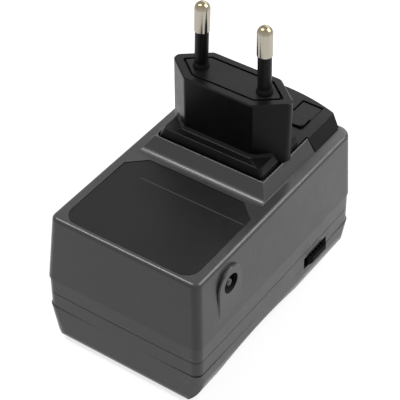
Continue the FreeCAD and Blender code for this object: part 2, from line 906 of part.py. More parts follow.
def release_button():
    """Button with a raised near half, and a flange under the deck that keeps it in."""
    half_x = button_width / 2
    front_y = button_y - button_length / 2
    back_y = button_y + button_length / 2
    flange_top_z = deck_underside_z - button_gap
    flange_z = flange_top_z - button_flange_thickness
    corners = [
        (button_x - half_x, front_y, button_chamfer),
        (button_x + half_x, front_y, button_chamfer),
        (button_x + half_x, back_y, 0),
        (button_x - half_x, back_y, 0),
    ]
    cap = upright(corners, flange_z, platform_z + button_rise)
    lowered = box(button_x - button_width, button_x + button_width, button_step_y, back_y + button_gap,
                  platform_z - button_low, platform_z + 2 * button_rise)
    wall_y = adapter_back_y - adapter_wall
    flange_back_y = min(back_y, wall_y) - 2 * button_flange
    undercut = box(button_x - button_width, button_x + button_width, flange_back_y, back_y + button_gap,
                   flange_z, flange_top_z)
    flange = box(button_x - half_x - button_flange, button_x + half_x + button_flange, front_y, flange_back_y,
                 flange_z, flange_top_z)
    return clean(cap.cut(lowered).cut(undercut).fuse(flange))


def button_spring():
    """Bowed leaf spring from the adapter's floor to the button."""
    floor_z = block_low_z + adapter_plate
    crown_z = deck_underside_z - button_gap - button_flange_thickness - fit_gap
    half_y = button_length / 2 - 2 * button_flange
    y = button_y - button_flange
    outer = Part.Arc(vector(0, y - half_y, floor_z), vector(0, y, crown_z), vector(0, y + half_y, floor_z))
    inner_half = half_y - spring_thickness
    inner = Part.Arc(vector(0, y + inner_half, floor_z), vector(0, y, crown_z - spring_thickness),
                     vector(0, y - inner_half, floor_z))
    ends = [
        Part.LineSegment(outer.EndPoint, inner.StartPoint),
        Part.LineSegment(inner.EndPoint, outer.StartPoint),
    ]
    wire = Part.Wire([outer.toShape(), ends[0].toShape(), inner.toShape(), ends[1].toShape()])
    spring = Part.Face(wire).extrude(vector(spring_width, 0, 0))
    spring.translate(vector(button_x - spring_width / 2, 0, 0))
    return spring


def mains_spring(sign):
    """Bent strip: a foot on the board, a tall leg, and a bowed arm up through the roof's window."""
    t = contact_thickness
    crown_z = shoulder_height - fit_gap
    bend_z = crown_z - mains_spring_drop
    leg = mains_spring_leg_y
    profile = [
        (leg, board_top_z, 0),
        (leg + 3 * t, board_top_z, 0),
        (leg + 3 * t, board_top_z + t, 0),
        (leg + t, board_top_z + t, 0),
        (leg + t, bend_z, 0),
        (mains_spring_crown_y, crown_z - t, t),
        (mains_spring_tip_y, bend_z, 0),
        (mains_spring_tip_y, bend_z + t, 0),
        (mains_spring_crown_y, crown_z, 2 * t),
        (leg, bend_z + t / 2, t / 2),
    ]
    x = sign * pin_spacing / 2
    return crosswise(profile, x - contact_width / 2, x + contact_width / 2)


def circuit_board():
    front_y = front_face_y + board_end_margin
    back_y = back_face_y - board_end_margin
    return box(-board_half_width, board_half_width, front_y, back_y, board_z, board_top_z)


def transformer_core():
    """Ferrite core seen from the front as two windows beside a centre leg."""
    half = core_width / 2
    core = box(core_x - half, core_x + half, core_y - core_depth / 2, core_y + core_depth / 2,
               board_top_z, board_top_z + core_height)
    window = half - core_limb - core_leg / 2
    for sign in (-1, 1):
        centre = core_x + sign * (core_leg / 2 + window / 2)
        core = core.cut(box(centre - window / 2, centre + window / 2,
                            core_y - core_depth, core_y + core_depth,
                            board_top_z + core_limb, board_top_z + core_height - core_limb))
    return clean(core)


def transformer_winding():
    """Coil wound round the core's centre leg."""
    gap = 2 * fit_gap
    low_z = board_top_z + core_limb + gap
    high_z = board_top_z + core_height - core_limb - gap
    half_x = core_leg / 2 + gap
    half_y = core_depth / 2 + gap
    outer = rectangle(core_x - half_x - winding_wall, core_x + half_x + winding_wall,
                      core_y - half_y - winding_wall, core_y + half_y + winding_wall, winding_wall)
    inner = rectangle(core_x - half_x, core_x + half_x, core_y - half_y, core_y + half_y)
    return upright(outer, low_z, high_z).cut(upright(inner, low_z, high_z))


def bridge_rectifier():
    half_x = rectifier_width / 2
    half_y = rectifier_depth / 2
    return box(rectifier_x - half_x, rectifier_x + half_x, rectifier_y - half_y, rectifier_y + half_y,
               board_top_z, board_top_z + rectifier_height)


def fusible_resistor():
    """Axial resistor lying along the board on its two bent leads."""
    radius = resistor_diameter / 2
    axis_z = board_top_z + resistor_stand + radius
    half = resistor_length / 2
    lead = resistor_lead_diameter / 2
    reach = half + 2 * resistor_lead_diameter
    along_y = vector(0, 1, 0)
    start = vector(resistor_x, resistor_y - half, axis_z)
    body = Part.makeCylinder(radius, resistor_length, start, along_y)
    low_x = resistor_x - lead
    high_x = resistor_x + lead
    leads = box(low_x, high_x, resistor_y - reach, resistor_y + reach, board_top_z, axis_z + lead)
    inner = reach - resistor_lead_diameter
    leads = leads.cut(box(low_x, high_x, resistor_y - inner, resistor_y + inner, board_top_z, axis_z - lead))
    return clean(body.fuse(leads))


def controller_chip():
    half_x = chip_width / 2
    half_y = chip_depth / 2
    return box(chip_x - half_x, chip_x + half_x, chip_y - half_y, chip_y + half_y,
               board_top_z, board_top_z + chip_height)


def indicator_led():
    """Lamp with a bevelled end in the bottom wall, on a lead that hangs from the board."""
    radius = led_diameter / 2
    tip = radius - led_bevel
    lens = turned([(0, 0), (tip, 0), (radius, led_bevel), (radius, led_length), (0, led_length)])
    lens.translate(vector(0, led_y, led_setback))
    half = led_lead_width / 2
    lead_z = led_setback + led_length / 2
    return clean(lens.fuse(box(-half, half, led_y - half, led_y + half, lead_z, board_z)))


def dc_jack_body():
    body = box(jack_seat_x - jack_body_length, jack_seat_x,
               jack_y - jack_body_width / 2, jack_y + jack_body_width / 2,
               jack_z - jack_body_height / 2, jack_z + jack_body_height / 2)
    floor_x = base_width / 2 - jack_depth - rear_wall
    along_x = vector(1, 0, 0)
    bore = Part.makeCylinder(jack_bore / 2, base_width, vector(floor_x, jack_y, jack_z), along_x)
    root = Part.makeCylinder(jack_pin_diameter / 2 + fit_gap, base_width,
                             vector(jack_seat_x - jack_body_length, jack_y, jack_z), along_x)
    return clean(body.cut(bore).cut(root))


def dc_jack_pin():
    """Centre pin with a bevelled tip, a little behind the face of the boss."""
    radius = jack_pin_diameter / 2
    start_x = jack_seat_x - jack_body_length
    length = jack_face_x - jack_pin_setback - start_x
    tip = radius - jack_pin_bevel
    shape = turned([(0, 0), (radius, 0), (radius, length - jack_pin_bevel), (tip, length), (0, length)])
    to_right = FreeCAD.Rotation(vector(0, 1, 0), 90)
    shape.Placement = FreeCAD.Placement(vector(start_x, jack_y, jack_z), to_right)
    return shape


def knob_face_x():
    return base_width / 2 + knob_proud


def selector_knob():
    """Slider: a cap that tapers in plan with ribs on its top, a cover plate behind the slot, and a stem."""
    low_z = slot_low_z + slide_gap
    top_z = low_z + knob_height
    plate_x = front_inner_x - slide_gap
    back_y = slot_front_y + slot_length - slide_gap
    middle_y = back_y - knob_length / 2
    tip_half = knob_tip_length / 2
    half = knob_length / 2
    cap = upright([
        (plate_x - knob_plate_thickness, middle_y - half, 0),
        (base_width / 2, middle_y - half, 0),
        (knob_face_x(), middle_y - tip_half, knob_bevel),
        (knob_face_x(), middle_y + tip_half, knob_bevel),
        (base_width / 2, middle_y + half, 0),
        (plate_x - knob_plate_thickness, middle_y + half, 0),
    ], low_z, top_z)
    bevel = [
        (knob_face_x() - knob_bevel, low_z, 0),
        (knob_face_x() + knob_bevel, low_z, 0),
        (knob_face_x() + knob_bevel, low_z + 2 * knob_bevel, 0),
    ]
    knob = cap.cut(lengthwise(bevel, middle_y - half, middle_y + half))
    pitch = knob_tip_length / knob_ribs
    for i in range(knob_ribs):
        y = middle_y - tip_half + (i + 0.5) * pitch
        knob = knob.fuse(box(plate_x, knob_face_x() - knob_bevel, y - rib_width / 2, y + rib_width / 2,
                             top_z - rib_height, top_z + rib_height))
    margin = knob_plate_margin
    plate = box(plate_x - knob_plate_thickness, plate_x, slot_front_y - margin, back_y + margin + knob_travel,
                slot_low_z - margin, slot_low_z + slot_height + margin)
    stem = box(plate_x - knob_plate_thickness - stem_length, plate_x, middle_y - stem_width / 2,
               middle_y + stem_width / 2, low_z + knob_height / 2, low_z + knob_height / 2 + stem_height)
    return clean(knob.fuse(plate).fuse(stem))


def selector_switch():
    """Switch under the board with a slot for the knob's stem and its travel."""
    low_z = slot_low_z + slide_gap
    face_x = front_inner_x - 2 * slide_gap - knob_plate_thickness
    middle_y = slot_front_y + slot_length - slide_gap - knob_length / 2 - knob_travel / 2
    body = box(face_x - switch_depth, face_x, middle_y - switch_length / 2, middle_y + switch_length / 2,
               tub_top_z + slide_gap, board_z)
    half = stem_width / 2 + knob_travel / 2 + slide_gap
    slot = box(face_x - stem_length - slide_gap, face_x + slide_gap, middle_y - half, middle_y + half,
               low_z + knob_height / 2 - slide_gap, low_z + knob_height / 2 + stem_height + slide_gap)
    return clean(body.cut(slot))


def battery_contact(sign):
    """Blade that hangs from the board and bows into the bay through the end wall."""
    t = blade_thickness
    back = bay_front_y - tub_wall - slide_gap
    tip = bay_front_y + blade_reach
    profile = [
        (back - t, board_z, 0),
        (back - t, blade_z - blade_rise, 0),
        (back, blade_z - blade_rise, 0),
        (tip, blade_z, t),
        (back, blade_z + blade_rise, t / 2),
        (back, board_z, 0),
    ]
    inner = [
        (back - t, blade_z - blade_rise + t, 0),
        (back, blade_z - blade_rise + 2 * t, 0),
        (tip - 2 * t, blade_z, 0),
        (back, blade_z + blade_rise - 2 * t, 0),
        (back - t, blade_z + blade_rise - t, 0),
    ]
    x = sign * blade_x
    blade = crosswise(profile, x - blade_width / 2, x + blade_width / 2)
    return clean(blade.cut(crosswise(inner, x - blade_width / 2, x + blade_width / 2)))


def build():
    pieces = {
        "rear_housing": rear_housing(),
        "front_housing": front_housing(),
        "label_panel": label_panel(),
        "adapter_cover": adapter_cover(),
        "adapter_base": adapter_base(),
        "pin_carrier": pin_carrier(),
        "release_button": release_button(),
        "button_spring": button_spring(),
        "circuit_board": circuit_board(),
        "transformer_core": transformer_core(),
        "transformer_winding": transformer_winding(),
        "mains_capacitor": rod(mains_capacitor_diameter / 2, mains_capacitor_x, mains_capacitor_y,
                               board_top_z, shoulder_height - roof - mains_capacitor_headroom),
        "output_capacitor": rod(output_capacitor_diameter / 2, output_capacitor_x, output_capacitor_y,
                                board_top_z, rebate_floor_z - roof - output_capacitor_headroom),
        "bridge_rectifier": bridge_rectifier(),
        "fusible_resistor": fusible_resistor(),
        "controller_chip": controller_chip(),
        "indicator_led": indicator_led(),
        "dc_jack_body": dc_jack_body(),
        "dc_jack_pin": dc_jack_pin(),
        "selector_knob": selector_knob(),
        "selector_switch": selector_switch(),
    }
    for name, sign in sides:
        pieces["pin_" + name] = pin(sign)
        pieces["pin_sleeve_" + name] = pin_sleeve(sign)
        pieces["adapter_contact_" + name] = adapter_contact(sign)
        pieces["mains_spring_" + name] = mains_spring(sign)
        pieces["battery_contact_" + name] = battery_contact(sign)
    return pieces


os.makedirs("parts", exist_ok=True)
for node, shape in build().items():
    shape.exportStep(f"parts/{node}.step")
    print(node, "solids", len(shape.Solids), "valid", shape.isValid(), "volume", round(shape.Volume, 1))
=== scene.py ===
import json
import math

import bmesh
import bpy
import numpy as np
from mathutils import Matrix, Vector
from mathutils.kdtree import KDTree


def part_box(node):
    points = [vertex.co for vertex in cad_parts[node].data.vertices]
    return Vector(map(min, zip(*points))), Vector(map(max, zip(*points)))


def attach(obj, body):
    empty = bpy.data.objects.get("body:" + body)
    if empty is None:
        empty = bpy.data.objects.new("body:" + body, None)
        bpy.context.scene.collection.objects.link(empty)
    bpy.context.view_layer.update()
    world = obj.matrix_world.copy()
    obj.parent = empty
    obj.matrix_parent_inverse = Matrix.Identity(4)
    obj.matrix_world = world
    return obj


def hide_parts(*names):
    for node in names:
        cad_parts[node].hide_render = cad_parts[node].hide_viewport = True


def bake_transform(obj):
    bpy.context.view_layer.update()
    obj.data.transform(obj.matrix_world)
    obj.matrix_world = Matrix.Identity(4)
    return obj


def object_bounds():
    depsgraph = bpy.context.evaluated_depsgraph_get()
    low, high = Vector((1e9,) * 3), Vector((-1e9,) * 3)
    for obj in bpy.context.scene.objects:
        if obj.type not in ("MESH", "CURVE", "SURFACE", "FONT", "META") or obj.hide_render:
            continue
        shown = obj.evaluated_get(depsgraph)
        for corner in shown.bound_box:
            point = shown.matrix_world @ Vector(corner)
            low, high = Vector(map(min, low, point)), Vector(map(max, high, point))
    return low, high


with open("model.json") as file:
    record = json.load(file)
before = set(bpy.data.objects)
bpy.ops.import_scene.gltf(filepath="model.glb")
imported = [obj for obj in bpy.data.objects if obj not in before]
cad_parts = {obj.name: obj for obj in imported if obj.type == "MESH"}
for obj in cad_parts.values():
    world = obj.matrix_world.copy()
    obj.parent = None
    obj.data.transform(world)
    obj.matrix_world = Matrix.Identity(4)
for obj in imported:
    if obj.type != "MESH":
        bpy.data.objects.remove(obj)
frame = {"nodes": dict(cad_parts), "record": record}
cadLow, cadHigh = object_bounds()
nodes = frame["nodes"]
bodies = frame["record"]["behaviour"]["bodies"]
bodyOf = {node: body for body, members in bodies.items() for node in members}
slotOf = {entry["node"]: entry["material_slot"] for entry in frame["record"]["subparts"]}
mm = 0.001
mergeDistance = 0.001 * mm
print("frame loaded:", len(nodes), "nodes")


# Materials

noiseMiddle = (0.3, 0.7)  # the part of a noise's range that tones and gloss are spread over


def startMaterial(name):
    # a new node material with the standard shader
    material = bpy.data.materials.new(name)
    material.use_nodes = True
    return material


def addNode(material, kind, **sockets):
    # a node with its own sockets set by name, spaces written as underscores
    node = material.node_tree.nodes.new(kind)
    for socket, value in sockets.items():
        node.inputs[socket.replace("_", " ")].default_value = value
    return node


def join(material, output, target):
    # feeds the target socket from the output
    material.node_tree.links.new(output, target)


def shaderOf(material):
    # the material's standard shader
    return material.node_tree.nodes["Principled BSDF"]


def grey(tone):
    # the same tone in red, green and blue
    return (tone, tone, tone)


def noiseField(material, size, detail=2.0, stretch=(1.0, 1.0, 1.0)):
    # noise with features of the given size, on Object coordinates that may be stretched along an axis
    place = addNode(material, "ShaderNodeTexCoord")
    mapping = addNode(material, "ShaderNodeMapping", Scale=stretch)
    noise = addNode(material, "ShaderNodeTexNoise", Scale=1.0 / size, Detail=detail)
    join(material, place.outputs["Object"], mapping.inputs["Vector"])
    join(material, mapping.outputs["Vector"], noise.inputs["Vector"])
    return noise.outputs["Fac"]


def colourRange(material, factor, dark, light):
    # goes from the dark to the light colour over the middle of a noise's range
    ramp = addNode(material, "ShaderNodeValToRGB")
    for element, place, colour in zip(ramp.color_ramp.elements, noiseMiddle, (dark, light)):
        element.position = place
        element.color = (*colour, 1.0)
    join(material, factor, ramp.inputs["Fac"])
    return ramp.outputs["Color"]


def spread(material, factor, low, high, start=noiseMiddle[0], end=noiseMiddle[1]):
    # a factor's range from start to end spread from low to high
    ranged = addNode(material, "ShaderNodeMapRange", From_Min=start, From_Max=end, To_Min=low, To_Max=high)
    join(material, factor, ranged.inputs["Value"])
    return ranged.outputs["Result"]


def grainBump(material, height, depth, strength):
    # tilts the shading by the slope of a height field of that depth
    bump = addNode(material, "ShaderNodeBump", Strength=strength, Distance=depth)
    join(material, height, bump.inputs["Height"])
    join(material, bump.outputs["Normal"], shaderOf(material).inputs["Normal"])


def mouldedPlastic(name, look):
    # spark-eroded mould finish: cloudy tone, gloss in clouds a third as wide, and a fine even grain
    material = startMaterial(name)
    shader = shaderOf(material)
    shader.inputs["Specular IOR Level"].default_value = look["specular"]
    cloud = noiseField(material, look["cloud"])
    join(material, colourRange(material, cloud, look["dark"], look["light"]), shader.inputs["Base Color"])
    gloss = noiseField(material, look["cloud"] / 3)
    join(material, spread(material, gloss, *look["rough"]), shader.inputs["Roughness"])
    grain = noiseField(material, look["grain"], detail=3.0)
    grainBump(material, grain, look["grainDepth"], look["grainStrength"])
    return material


def platedMetal(name, look):
    # drawn metal: streaks along its length in tone and gloss, and a grain a quarter as wide
    material = startMaterial(name)
    shader = shaderOf(material)
    shader.inputs["Metallic"].default_value = 1.0
    streak = noiseField(material, look["streak"], detail=3.0, stretch=look["along"])
    join(material, colourRange(material, streak, look["dark"], look["light"]), shader.inputs["Base Color"])
    join(material, spread(material, streak, *look["rough"]), shader.inputs["Roughness"])
    grain = noiseField(material, look["streak"] / 4, stretch=look["along"])
    grainBump(material, grain, look["grainDepth"], look["grainStrength"])
    return material


greyLook = {
    "dark": grey(0.027), "light": grey(0.030),
    "cloud": 0.012, "rough": (0.26, 0.33), "specular": 0.40,
    "grain": 0.00022, "grainDepth": 0.000012, "grainStrength": 0.35,
}
plugLook = {
    "dark": grey(0.0038), "light": grey(0.0051),
    "cloud": 0.008, "rough": (0.28, 0.36), "specular": 0.12,
    "grain": 0.00018, "grainDepth": 0.000010, "grainStrength": 0.30,
}
sleeveLook = {
    "dark": (0.0040, 0.0039, 0.0037), "light": (0.0055, 0.0053, 0.0050),
    "cloud": 0.004, "rough": (0.34, 0.42), "specular": 0.12,
    "grain": 0.00012, "grainDepth": 0.000006, "grainStrength": 0.20,
}
selectorLook = {
    "dark": grey(0.0030), "light": grey(0.0042),
    "cloud": 0.003, "rough": (0.60, 0.72), "specular": 0.05,
    "grain": 0.00015, "grainDepth": 0.000008, "grainStrength": 0.30,
}
# the jack's black plastic is painted a lighter grey, as painted light inside the bore
jackLightenedLook = {
    "dark": grey(0.056), "light": grey(0.064),
    "cloud": 0.003, "rough": (0.40, 0.50), "specular": 0.4,
    "grain": 0.00015, "grainDepth": 0.000008, "grainStrength": 0.25,
}
ferriteLook = {
    "dark": (0.020, 0.020, 0.022), "light": (0.034, 0.034, 0.037),
    "cloud": 0.002, "rough": (0.55, 0.70), "specular": 0.5,
    "grain": 0.00010, "grainDepth": 0.000020, "grainStrength": 0.60,
}
tapeLook = {
    "dark": (0.62, 0.44, 0.05), "light": (0.72, 0.53, 0.08),
    "cloud": 0.003, "rough": (0.25, 0.38), "specular": 0.5,
    "grain": 0.0006, "grainDepth": 0.000020, "grainStrength": 0.35,
}
chipLook = {
    "dark": (0.014, 0.014, 0.015), "light": (0.022, 0.022, 0.023),
    "cloud": 0.002, "rough": (0.50, 0.62), "specular": 0.5,
    "grain": 0.00008, "grainDepth": 0.000010, "grainStrength": 0.50,
}
boardLook = {
    "dark": (0.010, 0.075, 0.026), "light": (0.016, 0.105, 0.038),
    "cloud": 0.005, "rough": (0.28, 0.40), "specular": 0.5,
    "grain": 0.0007, "grainDepth": 0.000015, "grainStrength": 0.25,
}
resistorLook = {
    "dark": (0.070, 0.160, 0.260), "light": (0.095, 0.205, 0.320),
    "cloud": 0.002, "rough": (0.30, 0.42), "specular": 0.5,
    "grain": 0.00020, "grainDepth": 0.000010, "grainStrength": 0.30,
}
labelLook = {
    "dark": grey(0.0070), "light": grey(0.0088),
    "cloud": 0.009, "rough": (0.38, 0.46), "specular": 0.14,
    "grain": 0.00030, "grainDepth": 0.000006, "grainStrength": 0.25,
    "rule": grey(0.050), "ruleX": 0.00315, "ruleHalfLength": 0.01535,
    "ruleY": -0.01085, "ruleHalfWidth": 0.00011,
}
nickelLook = {
    "dark": (0.36, 0.335, 0.28), "light": (0.43, 0.40, 0.335),
    "streak": 0.0006, "along": (1.0, 1.0, 0.06), "rough": (0.10, 0.17),
    "grainDepth": 0.000003, "grainStrength": 0.15,
    # the darker, warmer tip tone is partly rubbed plating and partly painted shade in place of dark
    # reflections
    "rubbedShadedTone": (0.25, 0.215, 0.135), "rubAndShadeHeights": (0.0790, 0.0804),
}
brassLook = {
    "dark": (0.60, 0.40, 0.14), "light": (0.74, 0.52, 0.20),
    "streak": 0.0008, "along": (1.0, 0.1, 0.1), "rough": (0.22, 0.34),
    "grainDepth": 0.000005, "grainStrength": 0.15,
}
springLook = {
    "dark": (0.46, 0.46, 0.47), "light": (0.58, 0.58, 0.58),
    "streak": 0.0008, "along": (1.0, 0.1, 0.1), "rough": (0.22, 0.32),
    "grainDepth": 0.000005, "grainStrength": 0.15,
}
canLook = {
    "dark": (0.62, 0.63, 0.65), "light": (0.76, 0.77, 0.78),
    "streak": 0.0007, "along": (1.0, 1.0, 0.1), "rough": (0.25, 0.36),
    "grainDepth": 0.000006, "grainStrength": 0.15,
}
# the inlet pin's metal is painted dark, as painted shade for its place deep in the bore
inletShadedLook = {
    "dark": (0.050, 0.050, 0.048), "light": (0.075, 0.075, 0.072),
    "streak": 0.0006, "along": (0.1, 1.0, 1.0), "rough": (0.35, 0.45),
    "grainDepth": 0.000003, "grainStrength": 0.15,
}
lampLook = {
    "milk": (0.62, 0.66, 0.62), "tint": (0.86, 0.90, 0.86),
    "cloud": 0.0012, "rough": (0.12, 0.22), "ior": 1.5, "clear": 0.85,
}


def within(material, value, middle, half):
    # 1 where a value lies no further than half from the middle, else 0
    compare = addNode(material, "ShaderNodeMath")
    compare.operation = "COMPARE"
    valueSocket, middleSocket, halfSocket = compare.inputs
    middleSocket.default_value = middle
    halfSocket.default_value = half
    join(material, value, valueSocket)
    return compare.outputs["Value"]


# a colour mix has several sockets of one name, so they are told apart by their places
mixSockets = {"factor": 0, "under": 6, "over": 7, "result": 2}


def blendColour(material, factor, colour, target):
    # puts a second colour over what a colour socket is fed, by a factor from 0 to 1
    mix = addNode(material, "ShaderNodeMix")
    mix.data_type = "RGBA"
    mix.inputs[mixSockets["over"]].default_value = (*colour, 1.0)
    join(material, target.links[0].from_socket, mix.inputs[mixSockets["under"]])
    join(material, factor, mix.inputs[mixSockets["factor"]])
    join(material, mix.outputs[mixSockets["result"]], target)


def placeOf(material):
    # the point's own x, y and z in the frame
    place = addNode(material, "ShaderNodeTexCoord")
    split = addNode(material, "ShaderNodeSeparateXYZ")
    join(material, place.outputs["Object"], split.inputs["Vector"])
    return split.outputs


def ruledFilm(name, look):
    # printed film: plain but for one thin rule along x
    material = mouldedPlastic(name, look)
    place = placeOf(material)
    both = addNode(material, "ShaderNodeMath")
    both.operation = "MULTIPLY"
    join(material, within(material, place["Y"], look["ruleY"], look["ruleHalfWidth"]), both.inputs[0])
    join(material, within(material, place["X"], look["ruleX"], look["ruleHalfLength"]), both.inputs[1])
    blendColour(material, both.outputs["Value"], look["rule"], shaderOf(material).inputs["Base Color"])
    return material


def rubbedAndShadedMetal(name, look):
    # plated metal going darker and warmer towards the top of the tip, partly as its plating is rubbed thin
    # and partly as painted shade standing in for the dark reflections of the dome
    material = platedMetal(name, look)
    # the tip is painted darker from the first to the second height: partly rubbed plating, partly painted
    # shade
    rubAndShade = spread(material, placeOf(material)["Z"], 0.0, 1.0, *look["rubAndShadeHeights"])
    blendColour(material, rubAndShade, look["rubbedShadedTone"], shaderOf(material).inputs["Base Color"])
    return material


def clearLamp(name, look):
    # clear cast resin with a faintly milky body
    material = startMaterial(name)
    shader = shaderOf(material)
    shader.inputs["Transmission Weight"].default_value = look["clear"]
    shader.inputs["IOR"].default_value = look["ior"]
    cloud = noiseField(material, look["cloud"])
    join(material, colourRange(material, cloud, look["milk"], look["tint"]), shader.inputs["Base Color"])
    join(material, spread(material, cloud, *look["rough"]), shader.inputs["Roughness"])
    return material


finishes = {
    "housing_grey": mouldedPlastic("housingGrey", greyLook),
    "plug_black": mouldedPlastic("plugBlack", plugLook),
    "sleeve_black": mouldedPlastic("sleeveBlack", sleeveLook),
    "selector_black": mouldedPlastic("selectorBlack", selectorLook),
    # the jack body is painted lighter than black: painted light in the bore
    "jack_black": mouldedPlastic("jackLightened", jackLightenedLook),
    "ferrite": mouldedPlastic("ferriteCore", ferriteLook),
    "winding_tape": mouldedPlastic("windingTape", tapeLook),
    "chip_black": mouldedPlastic("chipBlack", chipLook),
    "board_green": mouldedPlastic("boardGreen", boardLook),
    "resistor_blue": mouldedPlastic("resistorBlue", resistorLook),
    "label_black": ruledFilm("labelFilm", labelLook),
    "pin_nickel": rubbedAndShadedMetal("pinNickel", nickelLook),
    "contact_brass": platedMetal("contactBrass", brassLook),
    "spring_steel": platedMetal("springSteel", springLook),
    "can_aluminium": platedMetal("canAluminium", canLook),
    "lamp_clear": clearLamp("lampClear", lampLook),
}
for node, piece in nodes.items():
    piece.data.materials.clear()
    piece.data.materials.append(finishes[slotOf[node]])
print("materials:", len(finishes))


# Shells: the CAD forms with soft edges

def finishPiece(piece, node):
    # the piece rides with its CAD node, stands for it and takes the finish of its slot
    bpy.context.scene.collection.objects.link(piece)
    piece.data.materials.append(finishes[slotOf[node]])
    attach(piece, bodyOf[node])
    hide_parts(node)
    return piece


def shadeSmooth(mesh):
    # every face is shaded smooth, up to the edges that are marked sharp
    mesh.polygons.foreach_set("use_smooth", np.ones(len(mesh.polygons), bool))
    mesh.update()


def evenShade(piece):
    # large faces rule the shading, so flat walls stay flat beside their rounded edges
    modifier = piece.modifiers.new("evenShade", "WEIGHTED_NORMAL")
    modifier.keep_sharp = True
    modifier.use_face_influence = True


def inBoxes(point, boxes):
    # true where a point in mm lies inside one of the boxes, each given by its low and high corner
    return any(np.all(point > low) and np.all(point < high) for low, high in boxes)


def edgePoints(side, spacing):
    # points spread evenly along an edge, its ends left out
    count = max(1, int(side.calc_length() / spacing))
    share = (np.arange(count) + 0.5) / count
    return np.outer(1 - share, side.verts[0].co) + np.outer(share, side.verts[1].co)


# room for a bevel, in bevel widths: the distances out at which it looks, how near another edge counts,
# and the spacing of the points that mark the edges
roomTest = {"reaches": (0.75, 1.0, 1.25, 1.5, 1.75, 2.0, 2.25), "near": 0.3, "spacing": 0.25}


def hasRoom(side, tree, width):
    # true where no other sharp edge comes near, straight out from the middle over either face
    start = (side.verts[0].co + side.verts[1].co) / 2
    for face in side.link_faces:
        out = face.normal.cross(side.verts[1].co - side.verts[0].co).normalized()
        if out.dot(face.calc_center_median() - start) < 0:
            out.negate()
        for reach in roomTest["reaches"]:
            _, owner, distance = tree.find(start + out * (reach * width))
            if owner != side.index and distance < roomTest["near"] * width:
                return False
    return True


softEdge = {"angle": 32, "segments": 2}  # an edge that turns by more than the angle, in degrees, is sharp


def softEdged(name, edge):
    # the node's own form with its triangles merged; a sharp edge is rounded by a bevel where its middle lies
    # in a soft box and in no crisp box and there is room, and stays a plain sharp edge elsewhere
    width = edge["width"] * mm
    mesh = bpy.data.meshes.new(name)
    work = bmesh.new()
    work.from_mesh(nodes[edge["node"]].data)
    bmesh.ops.remove_doubles(work, verts=work.verts, dist=mergeDistance)
    weights = work.edges.layers.float.new("bevel_weight_edge")
    work.edges.index_update()
    sharp = [side for side in work.edges if side.calc_face_angle(0.0) > math.radians(softEdge["angle"])]
    spacing = roomTest["spacing"] * width
    marks = [(point, side.index) for side in sharp for point in edgePoints(side, spacing)]
    tree = KDTree(len(marks))
    for point, owner in marks:
        tree.insert(point, owner)
    tree.balance()
    for side in sharp:
        middle = np.array((side.verts[0].co + side.verts[1].co) / 2) / mm
        chosen = inBoxes(middle, edge["soft"]) and not inBoxes(middle, edge["crisp"])
        side.smooth = chosen and hasRoom(side, tree, width)
        side[weights] = float(side.smooth)
    work.to_mesh(mesh)
    work.free()
    if "custom_normal" in mesh.attributes:
        mesh.attributes.remove(mesh.attributes["custom_normal"])
    shadeSmooth(mesh)
    piece = bpy.data.objects.new(name, mesh)
    bevel = piece.modifiers.new("softEdge", "BEVEL")
    bevel.limit_method = "WEIGHT"
    bevel.width = width
    bevel.segments = softEdge["segments"]
    bevel.use_clamp_overlap = False
    bevel.face_strength_mode = "FSTR_ALL"
    evenShade(piece)
    finishPiece(piece, edge["node"])


everywhere = ((-50, -50, -50), (50, 50, 100))
shellEdges = {
    "upperShell": {  # crisp at the back of the label's seat, and at the grooved sides of the channel
        "node": "rear_housing", "width": 0.20,
        "soft": (((-24, -37, 39.6), (24, 20, 45)),),
        "crisp": (
            ((-20, -9.5, 39.5), (20, -3.0, 41.0)),
            ((-18, 1.2, 39.5), (-14.5, 20, 43.7)),
            ((14.5, 1.2, 39.5), (18, 20, 43.7)),
        ),
    },
    "lowerShell": {  # soft at the rim of the selector's slot
        "node": "front_housing", "width": 0.12,
        "soft": (((22, 10, 9), (24, 25, 15)),), "crisp": (),
    },
    "adapterShell": {  # soft at the front sill and at the rim of the pad
        "node": "adapter_cover", "width": 0.18,
        "soft": (((-11, -2, 43.0), (11, 7.0, 47.5)),), "crisp": (),
    },
    "plugFace": {  # soft round the face, crisp at the rims of the pin holes
        "node": "pin_carrier", "width": 0.12,
        "soft": (((-15, 6, 61.5), (15, 17, 62.5)),), "crisp": (((-11.3, 9.4, 61), (11.3, 13.9, 63)),),
    },
    "releaseButton": {  # soft over its top
        "node": "release_button", "width": 0.14,
        "soft": (((5, 23, 43.2), (15, 35, 45)),), "crisp": (),
    },
    "selectorSlider": {"node": "selector_knob", "width": 0.08, "soft": (everywhere,), "crisp": ()},
    "labelFilm": {"node": "label_panel", "width": 0.08, "soft": (everywhere,), "crisp": ()},
}
for name, edge in shellEdges.items():
    softEdged(name, edge)
print("shells:", len(shellEdges))


# Pins, sleeves and spring: surfaces worked out on grids

def gridMesh(name, grid):
    # quads between neighbouring rows and columns of points, each row a closed ring; doubled points are merged
    rows, columns = grid.shape[:2]
    index = np.arange(rows * columns).reshape(rows, columns)
    index = np.concatenate([index, index[:, :1]], axis=1)
    quads = np.stack([index[:-1, :-1], index[:-1, 1:], index[1:, 1:], index[1:, :-1]], axis=-1)
    mesh = bpy.data.meshes.new(name)
    mesh.from_pydata(grid.reshape(-1, 3).tolist(), [], quads.reshape(-1, 4).tolist())
    work = bmesh.new()
    work.from_mesh(mesh)
    bmesh.ops.remove_doubles(work, verts=work.verts, dist=mergeDistance)
    bmesh.ops.recalc_face_normals(work, faces=work.faces)
    work.to_mesh(mesh)
    work.free()
    shadeSmooth(mesh)
    return mesh


